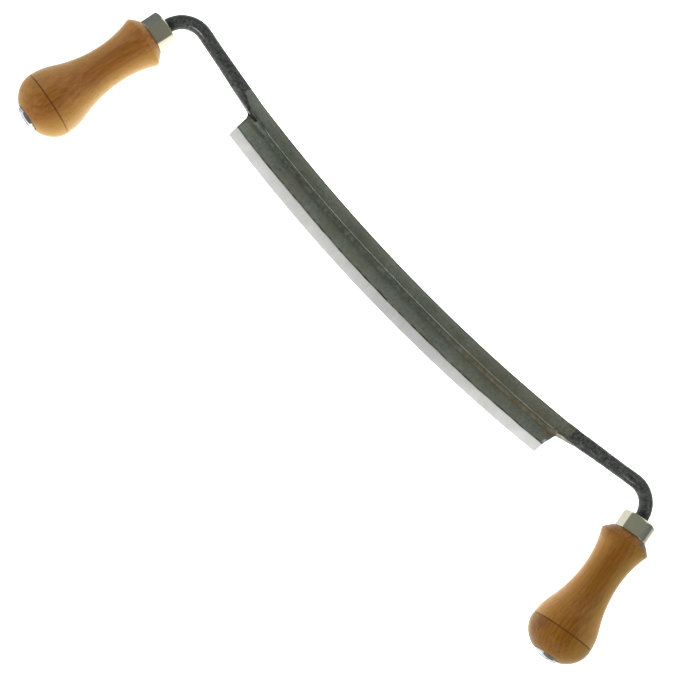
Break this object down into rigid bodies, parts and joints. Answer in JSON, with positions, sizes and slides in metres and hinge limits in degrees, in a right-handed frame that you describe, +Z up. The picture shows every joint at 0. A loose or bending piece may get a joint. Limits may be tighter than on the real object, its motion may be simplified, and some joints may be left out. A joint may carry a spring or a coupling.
{
  "type": "bent drawknife",
  "caption": "Bent drawknife: bowed single-bevel blade forged in one with its bent tangs, and turned wooden handles clamped between hexagon collars and end nuts.",
  "frame": {"origin": "on the bench under the middle of the tool's box, as it lies on the rims and bulbs of its handles, bevel up", "axes": "+X from the left handle to the right handle, -Y towards the user, +Z up, out of the bevelled side of the blade"},
  "size_m": [0.456, 0.1132, 0.0393],
  "materials": {
    "ground_steel": "finely ground tool steel with black forge scale on the tangs",
    "plated_steel": "dull plated steel",
    "oiled_wood": "turned and oiled, satin",
    "bright_zinc": "bright zinc plate"
  },
  "bodies": {
    "root": {"blade": "ground_steel", "left_collar_nut": "plated_steel", "right_collar_nut": "plated_steel", "left_handle": "oiled_wood", "right_handle": "oiled_wood", "left_washer": "bright_zinc", "right_washer": "bright_zinc", "left_end_nut": "bright_zinc", "right_end_nut": "bright_zinc"}
  },
  "joints": []
}
